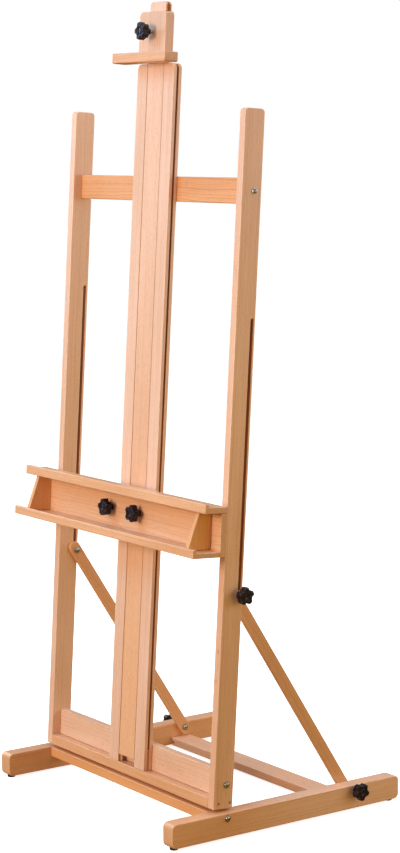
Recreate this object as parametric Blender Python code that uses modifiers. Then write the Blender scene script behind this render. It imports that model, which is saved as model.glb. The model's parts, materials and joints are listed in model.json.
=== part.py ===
"""Wooden studio easel with a leaning H-frame on a four-square base.

The origin is on the floor at the middle of the base. X runs across the easel, the front faces -Y,
and +Z is up. Pieces of the leaning frame hang under an empty on the hinge line, and are placed in
the frame's own axes: across, depth behind the frame's front face, and height above its lower edge.
"""
import math

import bmesh
import bpy
from mathutils import Vector

# Base
BASE_WIDTH = 0.620
BASE_DEPTH = 0.550
PAD_HEIGHT = 0.005
PAD_RADIUS = 0.008
PAD_INSET = 0.014
FOOT_WIDTH = 0.032
FOOT_HEIGHT = 0.047
FOOT_CORNER = 0.010
FRONT_RAIL_DEPTH = 0.050
FRONT_RAIL_THICKNESS = 0.020
FRONT_RAIL_Y = -0.1485
REAR_RAIL_DEPTH = 0.048
REAR_RAIL_THICKNESS = 0.017
REAR_RAIL_Y = 0.1565
REAR_SCREW_INSET = 0.0085

# Hinge line and the leaning frame
HINGE_Y = -0.1205
HINGE_Z = 0.0538
LEAN = math.radians(3.5)
HINGE_TO_FRONT = 0.0515
HINGE_TO_BOTTOM = 0.0016
POST_OUTER_X = 0.296
POST_WIDTH = 0.018
POST_DEPTH = 0.045
POST_LENGTH = 1.311
POST_CORNER = 0.008
BOTTOM_RAIL_HEIGHT = 0.020
BOARD_FRONT = 0.0193
BOARD_THICKNESS = 0.018
PANEL_TOP = 0.072
CROSSBAR_BOTTOM = 1.136
CROSSBAR_TOP = 1.184
SLOT_DEPTH_LINE = 0.0375
SLOT_WIDTH = 0.0058
SLOT_BOTTOM = 0.398
SLOT_TOP = {"left": 0.957, "right": 0.925}

# Mast
RAIL_OUTER_X = 0.062
RAIL_INNER_X = 0.0275
RAIL_DEPTH = 0.019
RAIL_TOP = 1.399
RAIL_CORNER = 0.012
RAIL_GROOVE_START = 0.063
RAIL_GROOVE_WIDTH = 0.004
RAIL_GROOVE_DEPTH = 0.005
MAST_HALF_WIDTH = 0.0268
MAST_DEPTH = 0.013
MAST_BOTTOM = 0.0354
MAST_TOP = 1.517
MAST_CORNER = 0.008
MAST_GROOVE_WIDTH = 0.004
MAST_GROOVE_DEPTH = 0.0036
TONGUE_CLEARANCE = 0.0006

# Canvas holder at the top
HOLDER_HALF_WIDTH = 0.0445
HOLDER_FRONT = -0.0115
HOLDER_BACK = 0.0080
HOLDER_BOTTOM = 1.4176
HOLDER_TOP = 1.4975
HOLDER_CORNER = 0.009
BAR_HALF_WIDTH = 0.090
BAR_FRONT = -0.0425
BAR_BOTTOM = 1.3980
BAR_HEIGHT = 0.0193
HOLDER_KNOB_HEIGHT = 1.458
HOLDER_KNOB_STANDOFF = 0.007
BAR_CORNER = 0.003

# Tray
TRAY_BOTTOM = 0.485
TRAY_BACK = -0.0145
TRAY_HALF_WIDTH = 0.316
BACK_PANEL_HALF_WIDTH = 0.316
BACK_PANEL_THICKNESS = 0.012
TRAY_FLOOR_THICKNESS = 0.010
TRAY_FLOOR_FRONT = -0.088
FLOOR_LIP_WIDTH = 0.007
FLOOR_LIP_TOP = 0.017
LEDGE_BOTTOM = 0.082
LEDGE_THICKNESS = 0.012
LEDGE_FRONT = -0.0645
LEDGE_LIP_WIDTH = 0.008
LEDGE_LIP_TOP = 0.100
END_PANEL_X = 0.281
END_PANEL_THICKNESS = 0.010
END_PANEL_TOP_FRONT = -0.0560
END_PANEL_LOW_FRONT = -0.0790
CLAMP_HALF_WIDTH = 0.080
CLAMP_BACK = 0.0145
CLAMP_BOTTOM = 0.010
CLAMP_TOP = 0.078
CLAMP_WEB_BACK = -0.0015
TRAY_KNOB_X = 0.048
TRAY_KNOB_HEIGHT = 0.0467

# Braces and their pivots
BRACE_PIVOT_Y = 0.163
BRACE_PIVOT_Z = 0.042
BRACE_WIDTH = 0.024
BRACE_THICKNESS = 0.009
BRACE_END = 0.006
BRACE_CLEARANCE = 0.0005
ROUND_END = 0.49
PIN_HEIGHT = 0.409

# Knobs and fasteners
KNOB_RADIUS = 0.0149
KNOB_LOBE = 0.0015
KNOB_LOBES = 5
KNOB_POINTS = 50
KNOB_STAR_START = 0.0105
KNOB_STAR_THICKNESS = 0.0125
KNOB_HUB_RADIUS = 0.0064
KNOB_NECK_RADIUS = 0.0072
KNOB_NECK_HEIGHT = 0.0060
KNOB_CORE_RADIUS = 0.0105
KNOB_CAP_RADIUS = 0.0055
KNOB_CAP_RISE = 0.0012
KNOB_CROWN_RISE = 0.0014
STUD_RADIUS = 0.003
SHANK_RADIUS = 0.0025
BORE_CLEARANCE = 0.0004
BOLT_SHANK_INTO_RAIL = 0.020
WASHER_RADIUS = 0.008
WASHER_THICKNESS = 0.0012
BOLT_HEAD_RADIUS = 0.0050
BOLT_HEAD_HEIGHT = 0.0030
BOLT_WASHER_RADIUS = 0.0066
BOLT_WASHER_THICKNESS = 0.0011
BOLT_DOME_STEPS = 3
SCREW_PROFILE = [(0, 0.0014), (0.0018, 0.0012), (0.003, 0.0004), (0.003, 0), (0, 0)]
SMALL_ROUND_STEPS = 12
PAD_STEPS = 20
DOWEL_RADIUS = 0.003
DOWEL_DEPTHS = {"front": 0.012, "rear": 0.038}
DOWEL_HEIGHT = 0.011
HINGE_X = 0.170
LEAF_HALF_LENGTH = 0.025
LEAF_REACH = 0.020
LEAF_THICKNESS = 0.001
KNUCKLE_RADIUS = 0.0026
KNUCKLE_HALF = 0.008
KNUCKLE_CLEARANCE = 0.0035

GAP = 0.0003
PAST = 0.01
ROUND_STEPS = 16
MERGE = 0.00001

FOOT_INNER_X = BASE_WIDTH / 2 - FOOT_WIDTH
FOOT_MIDDLE_X = BASE_WIDTH / 2 - FOOT_WIDTH / 2
FOOT_TOP = PAD_HEIGHT + FOOT_HEIGHT
POST_INNER_X = POST_OUTER_X - POST_WIDTH
RAIL_HALF_LENGTH = POST_INNER_X - GAP
BOARD_MIDDLE = BOARD_FRONT + BOARD_THICKNESS / 2
CROSSBAR_MIDDLE = (CROSSBAR_BOTTOM + CROSSBAR_TOP) / 2
PANEL_MIDDLE = (BOTTOM_RAIL_HEIGHT + PANEL_TOP) / 2
BRACE_OUTER_X = POST_INNER_X - BRACE_CLEARANCE
BRACE_INNER_X = BRACE_OUTER_X - BRACE_THICKNESS


def clear_scene():
    for obj in list(bpy.data.objects):
        bpy.data.objects.remove(obj)


def new_collection(name):
    collection = bpy.data.collections.new(name)
    bpy.context.scene.collection.children.link(collection)
    return collection


clear_scene()
PARTS = new_collection("wooden_artist_easel")
CUTTERS = new_collection("cutters")


def new_material(name, color, roughness, metallic=0.0):
    material = bpy.data.materials.new(name)
    material.use_nodes = True
    shader = material.node_tree.nodes["Principled BSDF"]
    shader.inputs["Base Color"].default_value = (*color, 1.0)
    shader.inputs["Roughness"].default_value = roughness
    shader.inputs["Metallic"].default_value = metallic
    return material


BEECH = (0.72, 0.45, 0.25)
BEECH_DARK = (0.58, 0.31, 0.14)


def wood(name, color=BEECH):
    return new_material(name, color, 0.45)


def steel(name):
    return new_material(name, (0.62, 0.58, 0.52), 0.3, 1.0)


def black_plastic(name):
    return new_material(name, (0.02, 0.02, 0.022), 0.4)


def add_empty(name, location, rotation=(0, 0, 0), parent=None):
    empty = bpy.data.objects.new(name, None)
    PARTS.objects.link(empty)
    empty.parent = parent
    empty.location = location
    empty.rotation_euler = rotation
    return empty


def add_object(name, mesh, location, parent, material=None, cutter=False):
    obj = bpy.data.objects.new(name, mesh)
    (CUTTERS if cutter else PARTS).objects.link(obj)
    obj.parent = parent
    obj.location = location
    if cutter:
        obj.hide_render = True
        obj.display_type = "WIRE"
    else:
        mesh.materials.append(material)
    return obj


def round_edges(bm, axis, radius, chosen, segments=4):
    """Rounds the edges that run along one axis and whose middle passes the chosen test."""
    edges = []
    for edge in bm.edges:
        run = edge.verts[1].co - edge.verts[0].co
        middle = (edge.verts[1].co + edge.verts[0].co) / 2
        if abs(run[axis]) > 0.999 * run.length and chosen(middle):
            edges.append(edge)
    bmesh.ops.bevel(bm, geom=edges, offset=radius, segments=segments, profile=0.5,
                    affect="EDGES", clamp_overlap=True)


def add_box(name, low, high, parent, material=None, rounding=None, cutter=False):
    """A box between two corners, with its own origin at its middle."""
    low = Vector(low)
    high = Vector(high)
    bm = bmesh.new()
    bmesh.ops.create_cube(bm, size=1.0)
    bmesh.ops.scale(bm, vec=high - low, verts=bm.verts)
    for axis, radius, chosen in rounding or ():
        round_edges(bm, axis, radius, chosen)
    mesh = bpy.data.meshes.new(name)
    bm.to_mesh(mesh)
    bm.free()
    return add_object(name, mesh, (low + high) / 2, parent, material, cutter)


def everywhere(middle):
    return True


def upper(middle):
    return middle.z > 0


def outline_mesh(name, outline, depth):
    """A closed mesh from a flat outline, drawn in XY and centred on Z."""
    curve = bpy.data.curves.new(name + "_outline", "CURVE")
    curve.dimensions = "2D"
    curve.fill_mode = "BOTH"
    curve.extrude = depth / 2
    spline = curve.splines.new("POLY")
    spline.points.add(len(outline) - 1)
    for point, (x, y) in zip(spline.points, outline):
        point.co = (x, y, 0, 1)
    spline.use_cyclic_u = True
    holder = bpy.data.objects.new(name + "_outline", curve)
    CUTTERS.objects.link(holder)
    bpy.context.view_layer.update()
    evaluated = holder.evaluated_get(bpy.context.evaluated_depsgraph_get())
    mesh = bpy.data.meshes.new_from_object(evaluated)
    bpy.data.objects.remove(holder)
    bpy.data.curves.remove(curve)
    bm = bmesh.new()
    bm.from_mesh(mesh)
    bmesh.ops.remove_doubles(bm, verts=bm.verts, dist=MERGE)
    bmesh.ops.dissolve_limit(bm, angle_limit=0.001, verts=bm.verts, edges=bm.edges)
    bmesh.ops.recalc_face_normals(bm, faces=bm.faces)
    bm.to_mesh(mesh)
    bm.free()
    mesh.name = name
    return mesh


def turned_mesh(name, profile, steps=ROUND_STEPS):
    """A closed mesh turned about Z; the profile runs from the top of the axis to its bottom."""
    mesh = bpy.data.meshes.new(name + "_profile")
    points = [(x, 0, z) for x, z in profile]
    mesh.from_pydata(points, [(i, i + 1) for i in range(len(points) - 1)], [])
    source = bpy.data.objects.new(name + "_profile", mesh)
    CUTTERS.objects.link(source)
    screw = source.modifiers.new("turn", "SCREW")
    screw.steps = steps
    screw.render_steps = steps
    screw.use_merge_vertices = True
    screw.merge_threshold = MERGE
    bpy.context.view_layer.update()
    evaluated = source.evaluated_get(bpy.context.evaluated_depsgraph_get())
    turned = bpy.data.meshes.new_from_object(evaluated)
    bpy.data.objects.remove(source)
    bpy.data.meshes.remove(mesh)
    bm = bmesh.new()
    bm.from_mesh(turned)
    bmesh.ops.recalc_face_normals(bm, faces=bm.faces)
    bm.to_mesh(turned)
    bm.free()
    turned.name = name
    return turned


def cut(target, cutter):
    modifier = target.modifiers.new("cut_" + cutter.name, "BOOLEAN")
    modifier.operation = "DIFFERENCE"
    modifier.object = cutter


def join(target, other):
    modifier = target.modifiers.new("join_" + other.name, "BOOLEAN")
    modifier.operation = "UNION"
    modifier.object = other


def drill(target, name, start, axis, length, radius):
    """A round hole from a start point along an axis, in the target's parent space."""
    bm = bmesh.new()
    bmesh.ops.create_cone(bm, cap_ends=True, segments=ROUND_STEPS, radius1=radius,
                          radius2=radius, depth=length)
    mesh = bpy.data.meshes.new(name)
    bm.to_mesh(mesh)
    bm.free()
    direction = Vector(axis).normalized()
    cutter = add_object(name, mesh, Vector(start) + direction * length / 2, target.parent,
                        cutter=True)
    cutter.rotation_euler = direction.to_track_quat("Z", "Y").to_euler()
    cut(target, cutter)


def bolt_profile(shank_radius, shank_length):
    """A low domed head on a washer, whose underside is at zero, above a plain shank."""
    washer = BOLT_WASHER_THICKNESS
    dome = []
    for step in range(BOLT_DOME_STEPS + 1):
        angle = math.pi / 2 * step / BOLT_DOME_STEPS
        dome.append((BOLT_HEAD_RADIUS * math.sin(angle),
                     washer + BOLT_HEAD_HEIGHT * math.cos(angle)))
    return dome + [(BOLT_WASHER_RADIUS, washer), (BOLT_WASHER_RADIUS, 0), (shank_radius, 0),
                   (shank_radius, -shank_length), (0, -shank_length)]


def pin_profile(radius, length):
    return [(0, 0), (radius, 0), (radius, -length), (0, -length)]


# Empties that carry the moving pieces
base_datum = add_empty("base_datum", (0, 0, 0))
frame_pivot = add_empty("frame_pivot", (0, HINGE_Y, HINGE_Z), (-LEAN, 0, 0), base_datum)
frame_datum = add_empty("frame_datum", (0, -HINGE_TO_FRONT, HINGE_TO_BOTTOM), parent=frame_pivot)
mast_datum = add_empty("mast_datum", (0, 0, MAST_BOTTOM), parent=frame_datum)
holder_datum = add_empty("holder_datum", (0, 0, BAR_BOTTOM - MAST_BOTTOM), parent=mast_datum)
tray_datum = add_empty("tray_datum", (0, 0, TRAY_BOTTOM), parent=frame_datum)

SIDES = {"left": -1, "right": 1}
ENDS = {"front": -1, "rear": 1}
TURN_OUTWARD = {"left": (0, -math.pi / 2, 0), "right": (0, math.pi / 2, 0)}
TURN_INWARD = {"left": (0, math.pi / 2, 0), "right": (0, -math.pi / 2, 0)}
FACE_FRONT = (math.pi / 2, 0, 0)
FACE_BACK = (-math.pi / 2, 0, 0)


def span(side, inner, outer):
    """The X limits of a piece that lies between two distances from the middle plane."""
    sign = SIDES[side]
    return sorted((sign * inner, sign * outer))


def frame_point(depth, height):
    """World Y and Z of a point given by depth and height in the leaning frame."""
    local_y = depth - HINGE_TO_FRONT
    local_z = height + HINGE_TO_BOTTOM
    return (HINGE_Y + local_y * math.cos(LEAN) + local_z * math.sin(LEAN),
            HINGE_Z + local_z * math.cos(LEAN) - local_y * math.sin(LEAN))


def make_base():
    for side in SIDES:
        x_low, x_high = span(side, FOOT_INNER_X, BASE_WIDTH / 2)
        foot = add_box(side + "_foot", (x_low, -BASE_DEPTH / 2, PAD_HEIGHT),
                       (x_high, BASE_DEPTH / 2, FOOT_TOP), base_datum, wood(side + "_foot"),
                       rounding=[(0, FOOT_CORNER, everywhere)])
        start = (x_low - PAST, BRACE_PIVOT_Y, BRACE_PIVOT_Z)
        drill(foot, side + "_foot_pivot_hole", start, (1, 0, 0), FOOT_WIDTH + 2 * PAST,
              STUD_RADIUS + BORE_CLEARANCE)
        rail_middle = FOOT_TOP - FRONT_RAIL_THICKNESS / 2
        drill(foot, side + "_foot_bolt_hole", (x_low - PAST, FRONT_RAIL_Y, rail_middle),
              (1, 0, 0), FOOT_WIDTH + 2 * PAST, STUD_RADIUS + BORE_CLEARANCE)

    half = FOOT_INNER_X - GAP
    front = add_box("base_front_rail",
                    (-half, FRONT_RAIL_Y - FRONT_RAIL_DEPTH / 2, FOOT_TOP - FRONT_RAIL_THICKNESS),
                    (half, FRONT_RAIL_Y + FRONT_RAIL_DEPTH / 2, FOOT_TOP), base_datum,
                    wood("base_front_rail"))
    add_box("base_rear_rail", (-half, REAR_RAIL_Y - REAR_RAIL_DEPTH / 2, PAD_HEIGHT),
            (half, REAR_RAIL_Y + REAR_RAIL_DEPTH / 2, PAD_HEIGHT + REAR_RAIL_THICKNESS),
            base_datum, wood("base_rear_rail"))
    for sign in (-1, 1):
        start = (sign * (half + PAST), FRONT_RAIL_Y, FOOT_TOP - FRONT_RAIL_THICKNESS / 2)
        drill(front, "front_rail_bolt_hole", start, (-sign, 0, 0),
              PAST + BOLT_SHANK_INTO_RAIL + 2 * GAP, STUD_RADIUS + BORE_CLEARANCE)

    for side, sign in SIDES.items():
        for end, end_sign in ENDS.items():
            name = f"{end}_{side}_pad"
            mesh = turned_mesh(name, pin_profile(PAD_RADIUS, PAD_HEIGHT - GAP), PAD_STEPS)
            add_object(name, mesh, (sign * FOOT_MIDDLE_X, end_sign * (BASE_DEPTH / 2 - PAD_INSET),
                       PAD_HEIGHT - GAP), base_datum, new_material(name, (0.02,) * 3, 0.8))
        name = side + "_base_bolt"
        mesh = turned_mesh(name, bolt_profile(STUD_RADIUS, FOOT_WIDTH + BOLT_SHANK_INTO_RAIL))
        bolt = add_object(name, mesh, (sign * (BASE_WIDTH / 2 + GAP), FRONT_RAIL_Y,
                          FOOT_TOP - FRONT_RAIL_THICKNESS / 2), base_datum, steel(name))
        bolt.rotation_euler = TURN_OUTWARD[side]
        name = side + "_rear_rail_screw"
        mesh = turned_mesh(name, SCREW_PROFILE, SMALL_ROUND_STEPS)
        screw = add_object(name, mesh, (sign * (FOOT_INNER_X - REAR_SCREW_INSET),
                           REAR_RAIL_Y - REAR_RAIL_DEPTH / 2 - GAP,
                           PAD_HEIGHT + REAR_RAIL_THICKNESS / 2), base_datum, steel(name))
        screw.rotation_euler = FACE_FRONT


def make_posts():
    for side in SIDES:
        x_low, x_high = span(side, POST_INNER_X, POST_OUTER_X)
        post = add_box(side + "_post", (x_low, 0, 0), (x_high, POST_DEPTH, POST_LENGTH),
                       frame_datum, wood(side + "_post"), rounding=[(0, POST_CORNER, upper)])
        slot = add_box(side + "_slot",
                       (x_low - PAST, SLOT_DEPTH_LINE - SLOT_WIDTH / 2, SLOT_BOTTOM),
                       (x_high + PAST, SLOT_DEPTH_LINE + SLOT_WIDTH / 2, SLOT_TOP[side]),
                       frame_datum, cutter=True,
                       rounding=[(0, ROUND_END * SLOT_WIDTH, everywhere)])
        cut(post, slot)
        through = POST_WIDTH + 2 * PAST
        drill(post, side + "_crossbar_hole", (x_low - PAST, BOARD_MIDDLE, CROSSBAR_MIDDLE),
              (1, 0, 0), through, STUD_RADIUS + BORE_CLEARANCE)
        drill(post, side + "_panel_hole", (x_low - PAST, BOARD_MIDDLE, PANEL_MIDDLE),
              (1, 0, 0), through, STUD_RADIUS + BORE_CLEARANCE)
        for depth in DOWEL_DEPTHS.values():
            drill(post, side + "_dowel_hole", (x_low - PAST, depth, DOWEL_HEIGHT), (1, 0, 0),
                  through, DOWEL_RADIUS + BORE_CLEARANCE)


def make_crosspieces():
    half = RAIL_HALF_LENGTH
    board_back = BOARD_FRONT + BOARD_THICKNESS
    crossbar = add_box("upper_crossbar", (-half, BOARD_FRONT, CROSSBAR_BOTTOM),
                       (half, board_back, CROSSBAR_TOP), frame_datum, wood("upper_crossbar"))
    drill(crossbar, "mast_stud_hole", (0, board_back + PAST, CROSSBAR_MIDDLE), (0, -1, 0),
          BOARD_THICKNESS + 2 * PAST, STUD_RADIUS + BORE_CLEARANCE)
    panel = add_box("bottom_panel", (-half, BOARD_FRONT, BOTTOM_RAIL_HEIGHT + GAP),
                    (half, board_back, PANEL_TOP), frame_datum, wood("bottom_panel"))
    rail = add_box("frame_bottom_rail", (-half, 0, 0), (half, POST_DEPTH, BOTTOM_RAIL_HEIGHT),
                   frame_datum, wood("frame_bottom_rail"))
    into = PAST + BOLT_SHANK_INTO_RAIL + 2 * GAP
    for sign in (-1, 1):
        end = sign * (half + PAST)
        drill(crossbar, "crossbar_bolt_hole", (end, BOARD_MIDDLE, CROSSBAR_MIDDLE),
              (-sign, 0, 0), into, STUD_RADIUS + BORE_CLEARANCE)
        drill(panel, "panel_bolt_hole", (end, BOARD_MIDDLE, PANEL_MIDDLE),
              (-sign, 0, 0), into, STUD_RADIUS + BORE_CLEARANCE)
        for depth in DOWEL_DEPTHS.values():
            drill(rail, "rail_dowel_hole", (end, depth, DOWEL_HEIGHT), (-sign, 0, 0), into,
                  DOWEL_RADIUS + BORE_CLEARANCE)


def make_frame_fasteners():
    length = POST_WIDTH + BOLT_SHANK_INTO_RAIL
    for side, sign in SIDES.items():
        for piece, height in (("crossbar", CROSSBAR_MIDDLE), ("panel", PANEL_MIDDLE)):
            name = f"{side}_{piece}_bolt"
            bolt = add_object(name, turned_mesh(name, bolt_profile(STUD_RADIUS, length)),
                              (sign * (POST_OUTER_X + GAP), BOARD_MIDDLE, height), frame_datum,
                              steel(name))
            bolt.rotation_euler = TURN_OUTWARD[side]
        for end, depth in DOWEL_DEPTHS.items():
            name = f"{end}_{side}_dowel"
            dowel = add_object(name, turned_mesh(name, pin_profile(DOWEL_RADIUS, length),
                                                SMALL_ROUND_STEPS),
                               (sign * (POST_OUTER_X + GAP), depth, DOWEL_HEIGHT), frame_datum,
                               wood(name, BEECH_DARK))
            dowel.rotation_euler = TURN_OUTWARD[side]


def make_hinges():
    """Two butt hinges: one leaf on the base rail, one under the frame, around the hinge line."""
    reach = -LEAF_REACH
    near = -KNUCKLE_CLEARANCE
    half = LEAF_HALF_LENGTH
    knuckle = KNUCKLE_HALF
    space = knuckle + GAP
    lower_outline = [(-half, reach), (half, reach), (half, near), (knuckle, near),
                     (knuckle, 0), (-knuckle, 0), (-knuckle, near), (-half, near)]
    upper_outline = [(-half, reach), (half, reach), (half, 0), (space, 0),
                     (space, near), (-space, near), (-space, 0), (-half, 0)]
    lower_z = FOOT_TOP + GAP + LEAF_THICKNESS / 2
    upper_z = HINGE_TO_BOTTOM - GAP - LEAF_THICKNESS / 2
    for side, sign in SIDES.items():
        x = sign * HINGE_X
        name = side + "_hinge_lower_leaf"
        lower = add_object(name, outline_mesh(name, lower_outline, LEAF_THICKNESS),
                           (x, HINGE_Y, lower_z), base_datum, steel(name))
        add_knuckle(lower, (x, HINGE_Y, HINGE_Z), -knuckle, knuckle)
        name = side + "_hinge_upper_leaf"
        leaf = add_object(name, outline_mesh(name, upper_outline, LEAF_THICKNESS),
                          (x, 0, upper_z), frame_pivot, steel(name))
        add_knuckle(leaf, (x, 0, 0), space, half)
        add_knuckle(leaf, (x, 0, 0), -half, -space)


def add_knuckle(leaf, centre, start, end):
    """Joins a barrel to a hinge leaf, from start to end along X from the hinge's middle."""
    mesh = turned_mesh("knuckle", pin_profile(KNUCKLE_RADIUS, end - start), SMALL_ROUND_STEPS)
    barrel = add_object("knuckle", mesh, Vector(centre) + Vector((end, 0, 0)), leaf.parent,
                        cutter=True)
    barrel.rotation_euler = TURN_OUTWARD["right"]
    join(leaf, barrel)


def make_mast_rails():
    """Each rail has a tongue on its inner edge and a groove along its outer edge."""
    middle = MAST_DEPTH / 2
    tongue_half = MAST_GROOVE_WIDTH / 2 - TONGUE_CLEARANCE
    tongue_tip = MAST_HALF_WIDTH - MAST_GROOVE_DEPTH + TONGUE_CLEARANCE
    bottom = BOTTOM_RAIL_HEIGHT + GAP
    for side, sign in SIDES.items():
        outline = [(RAIL_INNER_X, 0), (RAIL_OUTER_X, 0), (RAIL_OUTER_X, RAIL_DEPTH),
                   (RAIL_INNER_X, RAIL_DEPTH), (RAIL_INNER_X, middle + tongue_half),
                   (tongue_tip, middle + tongue_half), (tongue_tip, middle - tongue_half),
                   (RAIL_INNER_X, middle - tongue_half)]
        mesh = outline_mesh(side + "_mast_rail", [(sign * x, y) for x, y in outline],
                            RAIL_TOP - bottom)
        bm = bmesh.new()
        bm.from_mesh(mesh)

        def outer_top(point, sign=sign):
            return point.z > 0 and sign * point.x > RAIL_OUTER_X - MERGE
        round_edges(bm, 1, RAIL_CORNER, outer_top, 6)
        bm.to_mesh(mesh)
        bm.free()
        rail = add_object(side + "_mast_rail", mesh, (0, 0, (RAIL_TOP + bottom) / 2),
                          frame_datum, wood(side + "_mast_rail"))
        x_low, x_high = span(side, RAIL_OUTER_X - RAIL_GROOVE_DEPTH, RAIL_OUTER_X + PAST)
        half_width = RAIL_GROOVE_WIDTH / 2
        groove = add_box(side + "_rail_groove",
                         (x_low, RAIL_DEPTH / 2 - half_width, RAIL_GROOVE_START),
                         (x_high, RAIL_DEPTH / 2 + half_width, RAIL_TOP + PAST),
                         frame_datum, cutter=True)
        cut(rail, groove)


def make_inner_mast():
    length = MAST_TOP - MAST_BOTTOM
    mast = add_box("inner_mast", (-MAST_HALF_WIDTH, 0, 0), (MAST_HALF_WIDTH, MAST_DEPTH, length),
                   mast_datum, wood("inner_mast"), rounding=[(1, MAST_CORNER, upper)])
    for side in SIDES:
        x_low, x_high = span(side, MAST_HALF_WIDTH - MAST_GROOVE_DEPTH, MAST_HALF_WIDTH + PAST)
        half_width = MAST_GROOVE_WIDTH / 2
        groove = add_box(side + "_mast_groove", (x_low, MAST_DEPTH / 2 - half_width, -PAST),
                         (x_high, MAST_DEPTH / 2 + half_width, length + PAST),
                         mast_datum, cutter=True)
        cut(mast, groove)


def make_holder():
    """The top canvas holder: a block that hooks into the mast's grooves, and a cross bar."""
    wide = HOLDER_HALF_WIDTH
    channel = MAST_HALF_WIDTH + TONGUE_CLEARANCE
    tongue_front = MAST_DEPTH / 2 - MAST_GROOVE_WIDTH / 2 + TONGUE_CLEARANCE
    tongue_tip = MAST_HALF_WIDTH - MAST_GROOVE_DEPTH + TONGUE_CLEARANCE
    half_outline = [(wide, HOLDER_FRONT), (wide, HOLDER_BACK), (tongue_tip, HOLDER_BACK),
                    (tongue_tip, tongue_front), (channel, tongue_front), (channel, -GAP)]
    outline = half_outline + [(-x, y) for x, y in reversed(half_outline)]
    height = HOLDER_TOP - HOLDER_BOTTOM
    mesh = outline_mesh("holder_block", outline, height)
    bm = bmesh.new()
    bm.from_mesh(mesh)
    round_edges(bm, 1, HOLDER_CORNER, lambda p: p.z > 0 and abs(p.x) > wide - MERGE, 5)
    bm.to_mesh(mesh)
    bm.free()
    block_middle = (HOLDER_TOP + HOLDER_BOTTOM) / 2 - BAR_BOTTOM
    block = add_object("holder_block", mesh, (0, 0, block_middle), holder_datum,
                       wood("holder_block"))
    drill(block, "holder_stud_hole", (0, HOLDER_FRONT - PAST, HOLDER_KNOB_HEIGHT - BAR_BOTTOM),
          (0, 1, 0), 3 * PAST, STUD_RADIUS + BORE_CLEARANCE)
    add_box("holder_bar", (-BAR_HALF_WIDTH, BAR_FRONT, 0),
            (BAR_HALF_WIDTH, HOLDER_FRONT, BAR_HEIGHT), holder_datum, wood("holder_bar"),
            rounding=[(1, BAR_CORNER, everywhere)])


def make_tray():
    """A box tray: ledge, back panel, two end panels and a floor, with lips along the front."""
    panel_front = TRAY_BACK - BACK_PANEL_THICKNESS

    def lipped_board(name, front, back, bottom, thickness, lip_width, lip_top):
        outline = [(front, bottom), (back, bottom), (back, bottom + thickness),
                   (front + lip_width, bottom + thickness), (front + lip_width, lip_top),
                   (front, lip_top)]
        board = add_object(name, outline_mesh(name, outline, 2 * TRAY_HALF_WIDTH), (0, 0, 0),
                           tray_datum, wood(name))
        board.rotation_euler = (math.pi / 2, 0, math.pi / 2)
        return board

    lipped_board("tray_ledge", LEDGE_FRONT, TRAY_BACK, LEDGE_BOTTOM, LEDGE_THICKNESS,
                 LEDGE_LIP_WIDTH, LEDGE_LIP_TOP)
    lipped_board("tray_floor", TRAY_FLOOR_FRONT, panel_front - GAP, 0, TRAY_FLOOR_THICKNESS,
                 FLOOR_LIP_WIDTH, FLOOR_LIP_TOP)
    back = add_box("tray_back_panel", (-BACK_PANEL_HALF_WIDTH, panel_front, 0),
                   (BACK_PANEL_HALF_WIDTH, TRAY_BACK, LEDGE_BOTTOM - GAP), tray_datum,
                   wood("tray_back_panel"))
    for side, sign in SIDES.items():
        low = TRAY_FLOOR_THICKNESS + GAP
        top = LEDGE_BOTTOM - GAP
        outline = [(END_PANEL_LOW_FRONT, low), (panel_front - GAP, low),
                   (panel_front - GAP, top), (END_PANEL_TOP_FRONT, top)]
        name = "tray_" + side + "_end"
        end = add_object(name, outline_mesh(name, outline, END_PANEL_THICKNESS),
                         (sign * END_PANEL_X, 0, 0), tray_datum, wood(name))
        end.rotation_euler = (math.pi / 2, 0, math.pi / 2)

    clamp = make_tray_clamp()
    for sign in (-1, 1):
        for target in (back, clamp):
            drill(target, target.name + "_stud_hole",
                  (sign * TRAY_KNOB_X, panel_front - PAST, TRAY_KNOB_HEIGHT), (0, 1, 0),
                  PAST + BACK_PANEL_THICKNESS - TRAY_BACK, STUD_RADIUS + BORE_CLEARANCE)


def make_tray_clamp():
    """The block behind the tray whose tongues run in the outer grooves of the mast rails."""
    wide = CLAMP_HALF_WIDTH
    cheek = RAIL_OUTER_X + TONGUE_CLEARANCE
    tongue_half = RAIL_GROOVE_WIDTH / 2 - TONGUE_CLEARANCE
    tongue_tip = RAIL_OUTER_X - RAIL_GROOVE_DEPTH + TONGUE_CLEARANCE
    middle = RAIL_DEPTH / 2
    half_outline = [(wide, TRAY_BACK + GAP), (wide, CLAMP_BACK), (cheek, CLAMP_BACK),
                    (cheek, middle + tongue_half), (tongue_tip, middle + tongue_half),
                    (tongue_tip, middle - tongue_half), (cheek, middle - tongue_half),
                    (cheek, CLAMP_WEB_BACK)]
    outline = half_outline + [(-x, y) for x, y in reversed(half_outline)]
    return add_object("tray_clamp_block",
                      outline_mesh("tray_clamp_block", outline, CLAMP_TOP - CLAMP_BOTTOM),
                      (0, 0, (CLAMP_TOP + CLAMP_BOTTOM) / 2), tray_datum,
                      wood("tray_clamp_block", BEECH_DARK))


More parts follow.
